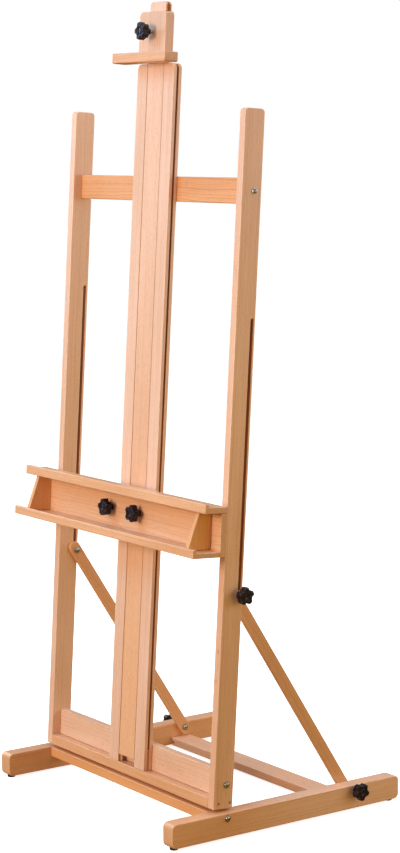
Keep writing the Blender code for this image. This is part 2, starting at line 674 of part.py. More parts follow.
def make_braces():
    pin_y, pin_z = frame_point(SLOT_DEPTH_LINE, PIN_HEIGHT)
    run = pin_y - BRACE_PIVOT_Y
    rise = pin_z - BRACE_PIVOT_Z
    length = math.hypot(run, rise)
    tilt = math.atan2(-run, rise)
    for side, sign in SIDES.items():
        pivot = add_empty(side + "_brace_pivot", (0, BRACE_PIVOT_Y, BRACE_PIVOT_Z),
                          (tilt, 0, 0), base_datum)
        x_low, x_high = span(side, BRACE_INNER_X, BRACE_OUTER_X)
        end = BRACE_END + BRACE_WIDTH / 2
        brace = add_box(side + "_brace", (x_low, -BRACE_WIDTH / 2, -end),
                        (x_high, BRACE_WIDTH / 2, length + end), pivot, wood(side + "_brace"),
                        rounding=[(0, ROUND_END * BRACE_WIDTH, everywhere)])
        for height, radius in ((0, STUD_RADIUS), (length, SHANK_RADIUS)):
            drill(brace, side + "_brace_hole", (x_low - PAST, 0, height), (1, 0, 0),
                  BRACE_THICKNESS + 2 * PAST, radius + BORE_CLEARANCE)

        name = side + "_brace_bolt"
        bolt = add_object(name, turned_mesh(name, bolt_profile(
                          SHANK_RADIUS, BRACE_THICKNESS + GAP)),
                          (sign * (BRACE_INNER_X - GAP), 0, length), pivot, steel(name))
        bolt.rotation_euler = TURN_INWARD[side]

        name = side + "_slot_bolt"
        shank = POST_WIDTH
        profile = [(0, 0), (WASHER_RADIUS, 0), (WASHER_RADIUS, -WASHER_THICKNESS),
                   (SHANK_RADIUS, -WASHER_THICKNESS), (SHANK_RADIUS, -WASHER_THICKNESS - shank),
                   (0, -WASHER_THICKNESS - shank)]
        slot_bolt = add_object(name, turned_mesh(name, profile),
                               (sign * (POST_OUTER_X + GAP + WASHER_THICKNESS),
                                SLOT_DEPTH_LINE, PIN_HEIGHT), frame_datum, steel(name))
        slot_bolt.rotation_euler = TURN_OUTWARD[side]

        name = side + "_pivot_bolt"
        reach = BASE_WIDTH / 2 - BRACE_INNER_X + 2 * GAP
        pivot_bolt = add_object(name, turned_mesh(name, bolt_profile(STUD_RADIUS, reach)),
                                (sign * (BRACE_INNER_X - GAP), BRACE_PIVOT_Y, BRACE_PIVOT_Z),
                                base_datum, steel(name))
        pivot_bolt.rotation_euler = TURN_INWARD[side]


def knob_mesh():
    """A lobed head on a flared hub; the hub's end is at zero and the head faces +Z."""
    outline = []
    for step in range(KNOB_POINTS):
        angle = 2 * math.pi * step / KNOB_POINTS
        radius = KNOB_RADIUS + KNOB_LOBE * math.cos(KNOB_LOBES * angle)
        outline.append((radius * math.cos(angle), radius * math.sin(angle)))
    star_mesh = outline_mesh("knob_star", outline, KNOB_STAR_THICKNESS)
    star_middle = KNOB_STAR_START + KNOB_STAR_THICKNESS / 2
    star = add_object("knob_star", star_mesh, (0, 0, star_middle), None, cutter=True)
    top = KNOB_STAR_START + KNOB_STAR_THICKNESS
    sink = 2 * GAP
    core_profile = [(0, top + KNOB_CROWN_RISE), (KNOB_CAP_RADIUS, top + KNOB_CAP_RISE),
                    (KNOB_CORE_RADIUS, top - sink), (KNOB_CORE_RADIUS, KNOB_STAR_START + sink),
                    (KNOB_NECK_RADIUS, KNOB_NECK_HEIGHT), (KNOB_HUB_RADIUS, 0), (0, 0)]
    core = add_object("knob_core", turned_mesh("knob_core", core_profile, PAD_STEPS), (0, 0, 0),
                      None, cutter=True)
    join(star, core)
    bpy.context.view_layer.update()
    evaluated = star.evaluated_get(bpy.context.evaluated_depsgraph_get())
    mesh = bpy.data.meshes.new_from_object(evaluated)
    mesh.transform(star.matrix_world)
    bpy.data.objects.remove(star)
    bpy.data.objects.remove(core)
    mesh.name = "knob"
    return mesh


def make_knobs():
    mesh = knob_mesh()
    side_x = POST_OUTER_X + 2 * GAP + WASHER_THICKNESS
    foot_x = BASE_WIDTH / 2 + 2 * GAP
    panel_front = TRAY_BACK - BACK_PANEL_THICKNESS
    board_back = BOARD_FRONT + BOARD_THICKNESS
    holder_y = HOLDER_FRONT - GAP - HOLDER_KNOB_STANDOFF
    half_lobe = math.pi / KNOB_LOBES
    holder_stud = HOLDER_KNOB_STANDOFF - HOLDER_FRONT - GAP
    tray_stud = -panel_front - GAP
    knobs = [
        ("holder_knob", holder_datum, (0, holder_y, HOLDER_KNOB_HEIGHT - BAR_BOTTOM), FACE_FRONT,
         half_lobe, holder_stud),
        ("tray_left_knob", tray_datum, (-TRAY_KNOB_X, panel_front - GAP, TRAY_KNOB_HEIGHT),
         FACE_FRONT, 0.5, tray_stud),
        ("tray_right_knob", tray_datum, (TRAY_KNOB_X, panel_front - GAP, TRAY_KNOB_HEIGHT),
         FACE_FRONT, 0.1, tray_stud),
        ("mast_knob", frame_datum, (0, board_back + GAP, CROSSBAR_MIDDLE), FACE_BACK, 0.2,
         board_back - MAST_DEPTH - GAP),
    ]
    for side, sign in SIDES.items():
        knobs.append((side + "_slot_knob", frame_datum,
                      (sign * side_x, SLOT_DEPTH_LINE, PIN_HEIGHT), TURN_OUTWARD[side],
                      sign * half_lobe, 0))
        knobs.append((side + "_foot_knob", base_datum, (sign * foot_x, BRACE_PIVOT_Y,
                      BRACE_PIVOT_Z), TURN_OUTWARD[side], 0, 0))
    for name, parent, place, turn, spin, stud_length in knobs:
        axis = add_empty(name + "_axis", place, turn, parent)
        copy = mesh.copy()
        knob = add_object(name, copy, (0, 0, 0), axis, black_plastic(name))
        knob.rotation_euler = (0, 0, spin)
        if stud_length:
            stud_name = name.replace("knob", "stud")
            add_object(stud_name, turned_mesh(stud_name, pin_profile(STUD_RADIUS, stud_length)),
                       (0, 0, -GAP), axis, steel(stud_name))
    bpy.data.meshes.remove(mesh)


make_base()
make_posts()
make_crosspieces()
make_frame_fasteners()
make_hinges()
make_mast_rails()
make_inner_mast()
make_holder()
make_tray()
make_braces()
make_knobs()
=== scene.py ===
import json
import math

import bmesh
import bpy
from mathutils import Matrix, Vector


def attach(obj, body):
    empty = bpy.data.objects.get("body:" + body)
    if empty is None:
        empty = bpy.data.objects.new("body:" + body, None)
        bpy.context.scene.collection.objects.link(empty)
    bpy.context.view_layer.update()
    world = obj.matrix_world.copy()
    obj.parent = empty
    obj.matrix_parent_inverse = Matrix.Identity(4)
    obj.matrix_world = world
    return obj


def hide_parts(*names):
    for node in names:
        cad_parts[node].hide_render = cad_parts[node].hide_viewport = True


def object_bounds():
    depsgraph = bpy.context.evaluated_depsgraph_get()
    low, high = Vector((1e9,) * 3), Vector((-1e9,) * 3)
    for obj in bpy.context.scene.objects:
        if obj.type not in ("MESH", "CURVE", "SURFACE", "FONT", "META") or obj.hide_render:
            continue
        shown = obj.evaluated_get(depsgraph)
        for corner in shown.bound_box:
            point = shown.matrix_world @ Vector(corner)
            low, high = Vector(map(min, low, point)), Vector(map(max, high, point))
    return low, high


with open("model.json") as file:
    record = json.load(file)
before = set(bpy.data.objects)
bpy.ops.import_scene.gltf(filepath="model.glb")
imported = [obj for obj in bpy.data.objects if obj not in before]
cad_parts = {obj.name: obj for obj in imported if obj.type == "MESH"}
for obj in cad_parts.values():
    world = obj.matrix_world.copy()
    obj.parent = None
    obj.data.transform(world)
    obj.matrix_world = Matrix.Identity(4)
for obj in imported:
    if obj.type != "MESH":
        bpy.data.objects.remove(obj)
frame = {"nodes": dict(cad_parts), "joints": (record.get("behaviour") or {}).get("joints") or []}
cadLow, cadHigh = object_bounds()
joints = {joint["name"]: joint for joint in frame["joints"]}
sides = {"left": -1, "right": 1}
hair = 0.0001  # how far a cut runs past a face, or two points may differ and still be one place
nearlyRound = 0.98  # a corner radius as a share of half the width, for a fully rounded end
play = 0.0006  # room between a tongue and its groove

# The leaning frame is modelled upright, then tipped back about the hinge line.
hingeLine = Vector(joints["frame_tilt"]["pos_m"])
frameUp = Vector(joints["mast_slide"]["axis"])
lean = math.atan2(frameUp.y, frameUp.z)
tipBack = (Matrix.Translation(hingeLine) @ Matrix.Rotation(-lean, 4, "X")
           @ Matrix.Translation(-hingeLine))
standUp = tipBack.inverted()
noTip = Matrix.Identity(4)


def boxOf(node, turn=noTip):
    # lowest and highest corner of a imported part, once it is turned
    points = [turn @ corner.co for corner in frame["nodes"][node].data.vertices]
    low = Vector([min(point[i] for point in points) for i in range(3)])
    high = Vector([max(point[i] for point in points) for i in range(3)])
    return low, high


# ---- modelling helpers

def deselectAll():
    if bpy.context.mode != "OBJECT":
        bpy.ops.object.mode_set(mode="OBJECT")
    bpy.ops.object.select_all(action="DESELECT")


def makeActive(piece):
    deselectAll()
    piece.select_set(True)
    bpy.context.view_layer.objects.active = piece


def settle(piece):
    # the place goes into the mesh, so that the object itself sits at the origin
    makeActive(piece)
    bpy.ops.object.transform_apply(location=True, rotation=True, scale=True)


def place(piece, matrix):
    piece.matrix_world = matrix @ piece.matrix_world
    settle(piece)
    return piece


def addBlock(name, low, high):
    low = Vector(low)
    high = Vector(high)
    deselectAll()
    bpy.ops.mesh.primitive_cube_add(size=1, location=(low + high) / 2, scale=high - low)
    piece = bpy.context.object
    piece.name = name
    settle(piece)
    return piece


def pick(piece, kind, wanted):
    # opens the piece for editing, with only the wanted edges or faces selected
    makeActive(piece)
    bpy.ops.object.mode_set(mode="EDIT")
    bpy.ops.mesh.select_mode(type=kind)
    bpy.ops.mesh.select_all(action="DESELECT")
    shape = bmesh.from_edit_mesh(piece.data)
    shape.normal_update()
    for part in shape.edges if kind == "EDGE" else shape.faces:
        if wanted(part):
            part.select_set(True)
    shape.select_flush_mode()
    bmesh.update_edit_mesh(piece.data)


def done():
    bpy.ops.object.mode_set(mode="OBJECT")


def runsAlong(edge, axis):
    run = edge.verts[1].co - edge.verts[0].co
    return abs(run[axis]) > 0.999 * run.length


def middleOf(edge):
    return (edge.verts[0].co + edge.verts[1].co) / 2


def roundCorners(piece, axis, radius, wanted=None, segments=6):
    # rounds the long edges that run along one axis
    pick(piece, "EDGE", lambda edge: runsAlong(edge, axis)
         and (wanted is None or wanted(middleOf(edge))))
    bpy.ops.mesh.bevel(offset=radius, segments=segments, affect="EDGES")
    done()


def applyModifier(piece, modifier):
    makeActive(piece)
    bpy.ops.object.modifier_apply(modifier=modifier.name)


def combine(piece, tool, operation):
    # cuts the tool out of the piece, or joins it on, and then throws the tool away
    modifier = piece.modifiers.new("shape", "BOOLEAN")
    modifier.operation = operation
    modifier.solver = "EXACT"
    modifier.object = tool
    applyModifier(piece, modifier)
    bpy.data.objects.remove(tool)


def carve(piece, low, high):
    combine(piece, addBlock("cutter", low, high), "DIFFERENCE")


def softEdges(piece, width, segments=3, angle=35):
    makeActive(piece)
    bpy.ops.object.shade_smooth_by_angle(angle=math.radians(angle))
    modifier = piece.modifiers.new("soft", "BEVEL")
    modifier.width = width
    modifier.segments = segments
    modifier.limit_method = "ANGLE"
    modifier.angle_limit = math.radians(angle)
    modifier.use_clamp_overlap = False
    modifier.harden_normals = True
    modifier.miter_outer = "MITER_ARC"
    applyModifier(piece, modifier)


def turned(name, rings, steps=32):
    # a turned piece about Z: a first cylinder, whose end is then pushed on and scaled ring by ring
    (radius, start), (_, end) = rings[:2]
    deselectAll()
    bpy.ops.mesh.primitive_cylinder_add(vertices=steps, radius=radius, depth=end - start,
                                        location=(0, 0, (start + end) / 2))
    piece = bpy.context.object
    piece.name = name
    settle(piece)
    pick(piece, "FACE", lambda face: face.normal.z > 0.9)
    for newRadius, newEnd in rings[2:]:
        bpy.ops.mesh.extrude_region_move(TRANSFORM_OT_translate={"value": (0, 0, newEnd - end)})
        scale = newRadius / radius
        bpy.ops.transform.resize(value=(scale, scale, 1), center_override=(0, 0, newEnd))
        radius, end = newRadius, newEnd
    done()
    return piece


def copyOf(piece, name):
    makeActive(piece)
    bpy.ops.object.duplicate(linked=False)
    copy = bpy.context.object
    copy.name = name
    return copy


def mirroredCopy(piece, name):
    copy = copyOf(piece, name)
    place(copy, Matrix.Diagonal((-1, 1, 1, 1)))
    makeActive(copy)
    bpy.ops.object.mode_set(mode="EDIT")
    bpy.ops.mesh.select_all(action="SELECT")
    bpy.ops.mesh.normals_make_consistent(inside=False)
    done()
    return copy


def finishPiece(piece, material, body, *nodes):
    piece.data.materials.clear()
    piece.data.materials.append(material)
    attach(piece, body)
    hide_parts(*nodes)
    return piece


# ---- materials

class Wire:
    # one output of a node: sums on it add Math nodes, and node() adds any other node
    def __init__(self, tree, socket=None):
        self.tree = tree
        self.socket = socket

    def node(self, kind, settings=None, values=None, output=0):
        made = self.tree.nodes.new("ShaderNode" + kind)
        for name, value in (settings or {}).items():
            if name == "stops":
                while len(made.color_ramp.elements) < len(value):
                    made.color_ramp.elements.new(1)
                for element, (position, level) in zip(made.color_ramp.elements, value):
                    element.position = position
                    element.color = (level, level, level, 1)
            else:
                setattr(made, name, value)
        for key, value in (values or {}).items():
            if isinstance(value, Wire):
                self.tree.links.new(value.socket, made.inputs[key])
            else:
                made.inputs[key].default_value = value
        return Wire(self.tree, made.outputs[output] if made.outputs else None)

    def maths(self, operation, *others):
        return self.node("Math", {"operation": operation}, dict(enumerate((self,) + others)))

    def __add__(self, other):
        return self.maths("ADD", other)

    def __mul__(self, other):
        return self.maths("MULTIPLY", other)

    def __sub__(self, other):
        return self.maths("SUBTRACT", other)

    def __rsub__(self, other):
        return self * -1 + other

    def __truediv__(self, other):
        return self.maths("DIVIDE", other)

    __radd__ = __add__
    __rmul__ = __mul__

    def fade(self, low, high):
        # 0 below the first value, 1 above the second, and smooth between
        return self.node("MapRange", {"interpolation_type": "SMOOTHSTEP"},
                         {"Value": self, "From Min": low, "From Max": high}, "Result")

    def stretched(self, across, along, shift=0.0):
        # the vector times one scale across the grain and another along it, and moved on
        return self.node("VectorMath", {"operation": "MULTIPLY_ADD"},
                         {0: self, 1: (across, across, along), 2: (shift, shift, shift)})

    def noise(self, detail=2.0, roughness=0.5):
        return self.node("TexNoise", {}, {"Vector": self, "Scale": 1.0, "Detail": detail,
                                          "Roughness": roughness}, "Fac")

    def tinted(self, mask, colour, mode="MIX"):
        # this colour with another laid over it where the mask is
        return self.node("Mix", {"data_type": "RGBA", "blend_type": mode},
                         {0: mask, 6: self, 7: (*colour, 1)}, 2)


def newMaterial(name):
    material = bpy.data.materials.new(name)
    material.use_nodes = True
    tree = material.node_tree
    tree.nodes.clear()
    return material, Wire(tree)


def surfaceOf(wires, values):
    shader = wires.node("BsdfPrincipled", {}, values)
    wires.node("OutputMaterial", {}, {"Surface": shader})


beechTones = {
    # blush: the boards' own pale tone with a painted sheen laid in, paler and pinker, used on the
    # left post and the mast rails
    "blush": {"light": (0.87, 0.570, 0.400), "deep": (0.77, 0.460, 0.285)},
    "pale": {"light": (0.87, 0.545, 0.360), "deep": (0.76, 0.430, 0.245)},
    "honey": {"light": (0.84, 0.480, 0.260), "deep": (0.73, 0.380, 0.180)},
    "warm": {"light": (0.83, 0.455, 0.235), "deep": (0.71, 0.350, 0.155)},
    "orange": {"light": (0.85, 0.405, 0.165), "deep": (0.73, 0.310, 0.105)},
    "amber": {"light": (0.80, 0.395, 0.140), "deep": (0.67, 0.290, 0.085)},
    "soft": {"light": (0.77, 0.480, 0.310), "deep": (0.68, 0.380, 0.215)},
    "dark": {"light": (0.34, 0.140, 0.055), "deep": (0.24, 0.090, 0.035)},
}
beechLook = {
    "ringSpacing": 0.0042,  # between growth rings
    "pith": (0.052, 0.071),  # how far the middle of the tree lies from the board's middle
    "ringWander": 0.026,
    "ringUneven": 0.012,
    "fleckColour": (0.40, 0.19, 0.085),
    "ringColour": (0.58, 0.29, 0.13),
    "endColour": (0.50, 0.27, 0.14),
    "paintedSeamShade": (0.50, 0.19, 0.050),  # painted shade where grooves, slots and joints lie in shadow
    "seamBlur": 0.0004,
    "streakStrength": 1.6,
    "coat": 0.70,
    "coatRoughness": 0.36,
}
grainTurns = {
    "x": Matrix.Rotation(math.pi / 2, 4, "Y"),
    "y": Matrix.Rotation(-math.pi / 2, 4, "X"),
    "z": Matrix.Identity(4),
}
boardCount = 0  # each board takes the next seed, so that no two have the same grain


def beech(name, node, grain, tone="pale", turn=noTip, ringStrength=0.30, knots=(), shadedSeams=(),
          foot=None):
    # beech with growth rings, fibres and ray flecks, drawn in the board's own directions;
    # foot is a second tone and the heights between which the board turns to it
    global boardCount
    boardCount += 1
    seed = boardCount
    tones = beechTones[tone]
    low, high = boxOf(node, turn)
    middle = turn.inverted() @ ((low + high) / 2)
    facing = turn.inverted().to_3x3().to_4x4() @ grainTurns[grain]
    along = facing.to_3x3() @ Vector((0, 0, 1))

    material, start = newMaterial(name)
    board = start.node("Mapping", {"vector_type": "TEXTURE"}, {
        "Vector": start.node("TexCoord", output="Object"),
        "Location": middle,
        "Rotation": facing.to_euler()})

    # growth rings round a pith beside the board, pulled about along its length
    drift = board.stretched(7, 1.6, seed * 3.7).noise(3)
    ripple = board.stretched(60, 9, seed * 1.9).noise(2)
    pithX, pithY = beechLook["pith"]
    swap = -1 if seed % 2 else 1
    fromPith = board.node("VectorMath", {"operation": "ADD"},
                          {0: board, 1: (pithX * swap, pithY, 0)})
    flat = fromPith.node("VectorMath", {"operation": "MULTIPLY"},
                         {0: fromPith, 1: (1, 1, 0)})
    radius = flat.node("VectorMath", {"operation": "LENGTH"}, {0: flat}, "Value")
    radius = radius + (drift - 0.5) * beechLook["ringWander"] + (ripple - 0.5) * 0.0016
    years = radius.node("TexNoise", {"noise_dimensions": "1D"},
                        {"W": radius * 85, "Scale": 1.0, "Detail": 1.0}, "Fac")
    radius = radius + (years - 0.5) * beechLook["ringUneven"]
    ringPhase = (radius / beechLook["ringSpacing"]).maths("FRACT")
    ring = ringPhase.node("ValToRGB", {"stops": [(0.0, 0.10), (0.62, 0.32), (0.86, 1.0),
                                                 (1.0, 0.10)]}, {"Fac": ringPhase})

    fibre = board.stretched(1300, 34, seed * 5.3).noise(3, 0.6)
    streak = board.stretched(260, 5, seed * 2.3).noise(2)
    fleck = board.stretched(1050, 150, seed * 4.1).noise(1).fade(0.63, 0.74)
    cloud = board.stretched(11, 2.6, seed * 8.9).noise(2)

    tone = (cloud.fade(0.30, 0.70) * 0.6 + streak.fade(0.32, 0.72) * 0.4)
    colour = board.node("Mix", {"data_type": "RGBA"}, {
        0: tone, 6: (*tones["light"], 1), 7: (*tones["deep"], 1)}, 2)
    if foot:
        footTone, footStart, footEnd = foot
        upTheBoard = board.node("SeparateXYZ", {}, {"Vector": board}, "Z")
        colour = colour.tinted(1 - upTheBoard.fade(footEnd, footStart),
                               beechTones[footTone]["light"])
    stronger = beechLook["streakStrength"]
    ringColour = [share * level for share, level in zip((0.74, 0.66, 0.56), tones["deep"])]
    colour = colour.tinted(ring * (cloud * 1.6 + 0.2) * (ringStrength * stronger), ringColour)
    colour = colour.tinted(fibre.fade(0.42, 0.80) * (0.22 * stronger), tones["deep"], "MULTIPLY")
    colour = colour.tinted(fleck * (0.40 * stronger), beechLook["fleckColour"])

    # cut ends drink more of the oil, so they come out darker and rougher
    normal = board.node("TexCoord", output="Normal")
    cutEnd = normal.node("VectorMath", {"operation": "DOT_PRODUCT"},
                         {0: normal, 1: along}, "Value").maths("ABSOLUTE").fade(0.72, 0.96)
    colour = colour.tinted(cutEnd * 0.34, beechLook["endColour"])

    coat = beechLook["coat"]
    # painted shade in grooves, slots and joints, where the coat is also taken off: each a box, as
    # its middle and half its size from the board's middle
    for seamMiddle, seamHalf in shadedSeams:
        inward = board.node("VectorMath", {"operation": "SUBTRACT"}, {0: board, 1: seamMiddle})
        inward = inward.node("VectorMath", {"operation": "ABSOLUTE"}, {0: inward})
        inward = inward.node("VectorMath", {"operation": "SUBTRACT"}, {0: inward, 1: seamHalf})
        parts = [inward.node("SeparateXYZ", {}, {"Vector": inward}, axis) for axis in "XYZ"]
        outside = parts[0].maths("MAXIMUM", parts[1]).maths("MAXIMUM", parts[2])
        clear = outside.fade(0, beechLook["seamBlur"])
        colour = colour.tinted(1 - clear, beechLook["paintedSeamShade"])
        coat = clear * coat

    for knotX, knotY, knotAlong, knotRadius in knots:
        toKnot = board.node("VectorMath", {"operation": "SUBTRACT"},
                            {0: board, 1: (knotX, knotY, knotAlong)})
        oval = toKnot.stretched(1, 0.55)
        away = oval.node("VectorMath", {"operation": "LENGTH"}, {0: oval}, "Value")
        away = away + (ripple - 0.5) * knotRadius
        colour = colour.tinted((1 - away.fade(knotRadius * 0.4, knotRadius)) * 0.75,
                               (0.24, 0.10, 0.04))
        colour = colour.tinted((1 - away.fade(knotRadius, knotRadius * 3.5)) * 0.35,
                               beechLook["ringColour"])

    height = fibre * 0.7 + ring * 0.2 - fleck * 0.5
    bump = height.node("Bump", {}, {"Strength": 0.30, "Distance": 0.0002, "Height": height})
    surfaceOf(board, {
        "Base Color": colour,
        "Roughness": fibre * 0.16 + cutEnd * 0.12 + fleck * 0.08 + 0.34,
        "Normal": bump,
        "IOR": 1.48,
        "Coat Weight": coat,
        "Coat Roughness": beechLook["coatRoughness"]})
    return material


def blackPlastic():
    material, start = newMaterial("moulded_black")
    spot = start.node("TexCoord", output="Object")
    grain = spot.stretched(900, 900).noise(3, 0.6)
    smear = spot.stretched(140, 140).noise(2)
    bump = grain.node("Bump", {}, {"Strength": 0.60, "Distance": 0.0004, "Height": grain})
    tone = smear.fade(0.35, 0.7)
    colour = tone.node("Mix", {"data_type": "RGBA"}, {
        0: tone, 6: (0.006, 0.003, 0.008, 1), 7: (0.014, 0.009, 0.018, 1)}, 2)
    surfaceOf(start, {"Base Color": colour, "Roughness": smear * 0.16 + grain * 0.12 + 0.14,
                      "Normal": bump, "IOR": 1.38, "Coat Weight": 0.0})
    return material


def platedMetal(name, bright, dull, roughness):
    material, start = newMaterial(name)
    spot = start.node("TexCoord", output="Object")
    mottle = spot.stretched(420, 420).noise(3)
    scuff = spot.stretched(3800, 900).noise(2)
    tone = mottle.fade(0.35, 0.72)
    colour = tone.node("Mix", {"data_type": "RGBA"},
                       {0: tone, 6: (*bright, 1), 7: (*dull, 1)}, 2)
    bump = scuff.node("Bump", {}, {"Strength": 0.15, "Distance": 0.00005, "Height": scuff})
    surfaceOf(start, {"Base Color": colour, "Metallic": 1.0, "Normal": bump,
                      "Roughness": mottle * 0.14 + scuff * 0.08 + roughness})
    return material


def rubber():
    material, start = newMaterial("pad_rubber")
    spot = start.node("TexCoord", output="Object")
    grit = spot.stretched(1500, 1500).noise(3)
    dust = spot.stretched(90, 90).noise(2).fade(0.5, 0.8)
    colour = dust.node("Mix", {"data_type": "RGBA"}, {
        0: dust, 6: (0.018, 0.017, 0.017, 1), 7: (0.060, 0.056, 0.052, 1)}, 2)
    bump = grit.node("Bump", {}, {"Strength": 0.4, "Distance": 0.0002, "Height": grit})
    surfaceOf(start, {"Base Color": colour, "Roughness": grit * 0.15 + 0.62, "Normal": bump})
    return material


plastic = blackPlastic()
nickel = platedMetal("bright_nickel", (0.40, 0.37, 0.34), (0.24, 0.21, 0.19), 0.22)
zinc = platedMetal("dull_zinc", (0.66, 0.65, 0.62), (0.48, 0.47, 0.45), 0.30)
padRubber = rubber()
print("materials ready")


# ---- base

base = {
    "edge": 0.0020,
    "footCorner": 0.010,
    "railEdge": 0.0015,
    "tones": {"left": "warm", "right": "warm"},
    "ends": {"left": None, "right": ("pale", -0.22, 0.10)},  # the right foot pales towards the rear
}


def makeFeet():
    low, high = boxOf("left_foot")
    foot = addBlock("leftFoot", low, high)
    roundCorners(foot, 0, base["footCorner"])
    softEdges(foot, base["edge"])
    other = mirroredCopy(foot, "rightFoot")
    for side, piece in (("left", foot), ("right", other)):
        node = side + "_foot"
        look = beech(node + "_beech", node, "y", base["tones"][side], foot=base["ends"][side])
        finishPiece(piece, look, "base", node)


def makeBaseRails():
    for name, node, tone in (("baseFrontRail", "base_front_rail", "orange"),
                             ("baseRearRail", "base_rear_rail", "pale")):
        rail = addBlock(name, *boxOf(node))
        softEdges(rail, base["railEdge"])
        finishPiece(rail, beech(node + "_beech", node, "x", tone), "base", node)


def makePads():
    low, high = boxOf("front_left_pad")
    tall = high.z - low.z
    wide = (high.x - low.x) / 2
    first = turned("footPad", [(wide * 0.94, 0), (wide * 0.94, tall * 0.15),
                               (wide, tall * 0.4), (wide, tall)], 40)
    softEdges(first, 0.0005, 2)
    for end in ("front", "rear"):
        for side in sides:
            node = f"{end}_{side}_pad"
            low, high = boxOf(node)
            pad = copyOf(first, end + side.capitalize() + "Pad")
            middle = (low + high) / 2
            place(pad, Matrix.Translation((middle.x, middle.y, low.z)))
            finishPiece(pad, padRubber, "base", node)
    bpy.data.objects.remove(first)


makeFeet()
makeBaseRails()
makePads()
print("base ready")


# ---- the leaning frame

posts = {
    "edge": 0.0020,
    "topCorner": 0.008,
    "slotWidth": 0.0058,
    "slotClear": 0.1,  # nothing of the slot lies this near a post's ends
    "pinKnots": {  # across, along the board from its middle, and radius, on the front face
        "left": (),
        "right": ((0.0015, -0.3545, 0.0019), (-0.0010, -0.4105, 0.0016)),
    },
    "tones": {"left": "blush", "right": "pale"},
}


def slotOf(side):
    # the slot's lower and upper end and its middle line, read from the post's own corners
    post = frame["nodes"][side + "_post"]
    low, high = boxOf(side + "_post", standUp)
    points = [standUp @ corner.co for corner in post.data.vertices]
    line = boxOf(side + "_slot_bolt", standUp)
    across = (line[0].y + line[1].y) / 2
    near = [point.z for point in points if abs(point.y - across) < posts["slotWidth"] * 0.3
            and low.z + posts["slotClear"] < point.z < high.z - posts["slotClear"]]
    return min(near), max(near), across


def makePosts():
    for side in sides:
        node = side + "_post"
        low, high = boxOf(node, standUp)
        post = addBlock(side + "Post", low, high)
        roundCorners(post, 0, posts["topCorner"], lambda spot: spot.z > (low.z + high.z) / 2)
        bottom, top, across = slotOf(side)
        half = posts["slotWidth"] / 2
        cutter = addBlock("cutter", (low.x - hair, across - half, bottom),
                          (high.x + hair, across + half, top))
        roundCorners(cutter, 0, half * nearlyRound, segments=5)
        combine(post, cutter, "DIFFERENCE")
        softEdges(post, posts["edge"])
        place(post, tipBack)
        middle = (low + high) / 2
        knots = [(across, low.y - middle.y, along, radius)
                 for across, along, radius in posts["pinKnots"][side]]
        # the slot's walls get painted shade
        shadedSeam = ((0, across - middle.y, (bottom + top) / 2 - middle.z),
                (high.x - low.x, half + hair, (top - bottom) / 2 + hair))
        look = beech(node + "_beech", node, "z", posts["tones"][side], standUp, knots=knots,
                     shadedSeams=[shadedSeam])
        finishPiece(post, look, "frame", node)


def makeCrossBoards():
    for name, node, tone, rings in (("upperCrossbar", "upper_crossbar", "orange", 0.55),
                                    ("bottomPanel", "bottom_panel", "pale", 0.30),
                                    ("frameBottomRail", "frame_bottom_rail", "warm", 0.30)):
        board = addBlock(name, *boxOf(node, standUp))
        softEdges(board, base["railEdge"])
        place(board, tipBack)
        finishPiece(board, beech(node + "_beech", node, "x", tone, standUp, rings), "frame", node)


mast = {
    "railCorner": 0.012,
    "railEdge": 0.0013,
    "grooveWidth": 0.0040,
    "grooveDepth": 0.0050,
    "grooveStart": 0.0427,  # above the rail's lower end
    "shy": 0.001,  # how far a tongue stops short of its board's ends
    "root": 0.004,  # how deep a tongue is set in its board
    "sheathEdge": 0.0275,  # the rails' inner edges, from the middle plane
    "mastCorner": 0.008,
    "mastGrooveDepth": 0.0036,
    "mastEdge": 0.0011,
    "jointShade": {"left": 0.0007, "right": 0.0002},  # how far the joint's dark line reaches
}


def makeMastRails():
    low, high = boxOf("right_mast_rail", standUp)
    low.x = mast["sheathEdge"]
    rail = addBlock("rightMastRail", low, high)
    roundCorners(rail, 1, mast["railCorner"],
                 lambda spot: spot.z > high.z - hair and spot.x > high.x - hair, 8)
    middle = (low.y + high.y) / 2
    half = mast["grooveWidth"] / 2
    carve(rail, (high.x - mast["grooveDepth"], middle - half, low.z + mast["grooveStart"]),
          (high.x + hair, middle + half, high.z + hair))
    tongueLow, tongueHigh = boxOf("right_mast_rail", standUp)
    mastLow, mastHigh = boxOf("inner_mast", standUp)
    tongueHalf = half - play
    tongueMiddle = (mastLow.y + mastHigh.y) / 2
    softEdges(rail, mast["railEdge"])
    tongue = addBlock("tongue", (tongueLow.x, tongueMiddle - tongueHalf, low.z + mast["shy"]),
                      (low.x + mast["root"], tongueMiddle + tongueHalf,
                       high.z - 2 * mast["shy"]))
    combine(rail, tongue, "UNION")
    place(rail, tipBack)
    other = mirroredCopy(rail, "leftMastRail")
    for side, piece in (("right", rail), ("left", other)):
        node = side + "_mast_rail"
        sign = sides[side]
        boardMiddle = sign * (tongueLow.x + tongueHigh.x) / 2
        # painted shade in the outer groove and along the joint with the inner mast
        shadedSeams = [((sign * high.x - boardMiddle, 0, 0),
                  (mast["grooveDepth"] + hair, half + hair, 1)),
                 ((sign * low.x - boardMiddle, 0, 0), (mast["jointShade"][side], 1, 1))]
        look = beech(node + "_beech", node, "z", "blush", standUp, 0.22, shadedSeams=shadedSeams)
        finishPiece(piece, look, "frame", node)


